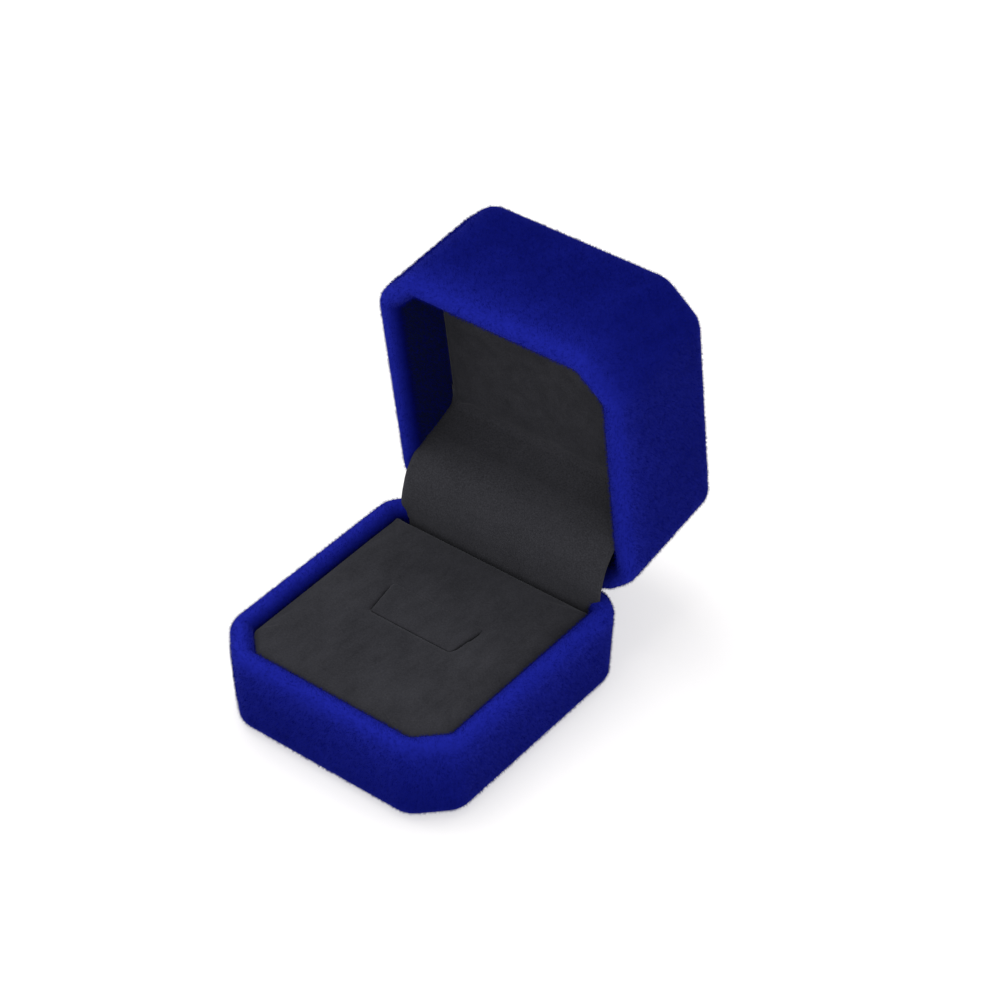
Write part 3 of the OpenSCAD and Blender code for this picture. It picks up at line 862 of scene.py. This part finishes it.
spring_low, spring_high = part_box("snap_springs")
spring_width = 4 * MM
spring_thickness = 0.3 * MM
leaf_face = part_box("hinge_base_leaf")[1].y - 0.5 * MM
spring_y = leaf_face - spring_thickness / 2 - 0.05 * MM
bow = 2.1 * MM
hinge_yz = np.array([hinge_at.y, hinge_at.z])
turn = np.radians(np.linspace(205, 75, 27))
bow_points = hinge_yz + bow * np.stack([np.cos(turn), np.sin(turn)], 1)
on_lid = opened(np.array([[0, spring_y, hinge_at.z + 4.6 * MM], [0, spring_y, hinge_at.z + 9.8 * MM]]))
spring_path, _ = rounded_path(
    [(spring_y, spring_low.z), (spring_y, hinge_at.z - 6 * MM)]
    + [(spring_y - 0.1 * MM, hinge_at.z - 4.6 * MM)]
    + [tuple(point) for point in bow_points]
    + [tuple(point[1:]) for point in on_lid],
    120,
)


def flat_strip(name, path, width, thickness, middle_x):
    """A strip of even thickness that follows a path in the side view, with eased edges."""
    way = np.gradient(path, axis=0)
    way /= np.linalg.norm(way, axis=1)[:, None]
    across = np.stack([way[:, 1], -way[:, 0]], 1)
    ease = thickness * 0.3
    section = [
        (-width / 2 + ease, -thickness / 2), (width / 2 - ease, -thickness / 2),
        (width / 2, -thickness / 2 + ease), (width / 2, thickness / 2 - ease),
        (width / 2 - ease, thickness / 2), (-width / 2 + ease, thickness / 2),
        (-width / 2, thickness / 2 - ease), (-width / 2, -thickness / 2 + ease),
    ]
    rings = []
    for x, lift in section:
        ring = np.zeros((len(path), 3))
        ring[:, 0] = middle_x + x
        ring[:, 1:] = path + across * lift
        rings.append(ring)
    points = np.stack(rings, 1).reshape(-1, 3)
    faces = [tuple(face) for face in grid_faces(len(path), 8, False)]
    faces += [tuple(range(8))[::-1], tuple(range(8 * (len(path) - 1), 8 * len(path)))]
    return new_piece(name, points, faces, smooth=False)


spring_steel = pressed_steel("spring_steel", (0.35, 0.36, 0.40, 1), 0.3)
for side, label in ((-1, "left"), (1, "right")):
    middle_x = side * (spring_high.x - spring_width / 2)
    spring = flat_strip(f"spring_{label}", spring_path, spring_width, spring_thickness, middle_x)
    spring.data.materials.append(spring_steel)
    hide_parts("snap_springs")
    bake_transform(spring)


# ---- Shells -------------------------------------------------------------------------
# The moulded plastic trays that the velvet is glued to: fine moulding grain, and a
# faint swirl where the plastic flowed.

shell_finish = Finish("moulded_plastic")
place = shell_finish.place()
flow = shell_finish.noise(place, 1 / (12 * MM), 4.0)
grain = shell_finish.noise(place, 1 / (0.25 * MM), 2.0)
shell_finish.set(
    Base_Color=shell_finish.mix(flow, (0.022, 0.022, 0.026, 1), (0.040, 0.040, 0.045, 1)),
    Roughness=flow * 0.2 + 0.45,
    Normal=shell_finish.bump(grain, 0.02 * MM, 0.5),
)
give_finish(shell_finish.material, 0.15 * MM, "base_shell", "lid_shell")


# ---- Boards and risers --------------------------------------------------------------
# Cut greyboard: pulp fibres of mixed greys, a slightly furry surface.

board_finish = Finish("greyboard")
place = board_finish.place()
pulp = board_finish.noise(board_finish.stretched(place, (1.0, 0.35, 1.0)), 1 / (0.6 * MM), 5.0, 0.7)
stain = board_finish.noise(place, 1 / (9 * MM), 2.0)
board_finish.set(
    Base_Color=board_finish.mix(
        board_finish.between(pulp * 0.7 + stain * 0.3, 0.3, 0.7),
        (0.20, 0.18, 0.16, 1), (0.38, 0.36, 0.32, 1),
    ),
    Roughness=pulp * 0.15 + 0.8,
    Normal=board_finish.bump(pulp, 0.05 * MM, 0.6),
)
give_finish(board_finish.material, 0.08 * MM, "pad_riser", "pad_board", "lid_riser", "lid_board")


# ---- Sole ---------------------------------------------------------------------------
# Black embossed paper glued over the velvet's turned-under edges.

sole_finish = Finish("sole_paper")
place = sole_finish.place()
cells = sole_finish.node("ShaderNodeTexVoronoi", None, {"Vector": place, "Scale": 1 / (0.7 * MM)})
scuffs = sole_finish.noise(place, 1 / (6 * MM), 5.0)
sole_finish.set(
    Base_Color=sole_finish.mix(
        sole_finish.between(scuffs, 0.55, 0.75), (0.012, 0.012, 0.014, 1), (0.035, 0.034, 0.035, 1)
    ),
    Roughness=scuffs * 0.3 + 0.45,
    Normal=sole_finish.bump(cells, 0.05 * MM, 0.6),
)
give_finish(sole_finish.material, 0.12 * MM, "base_sole")
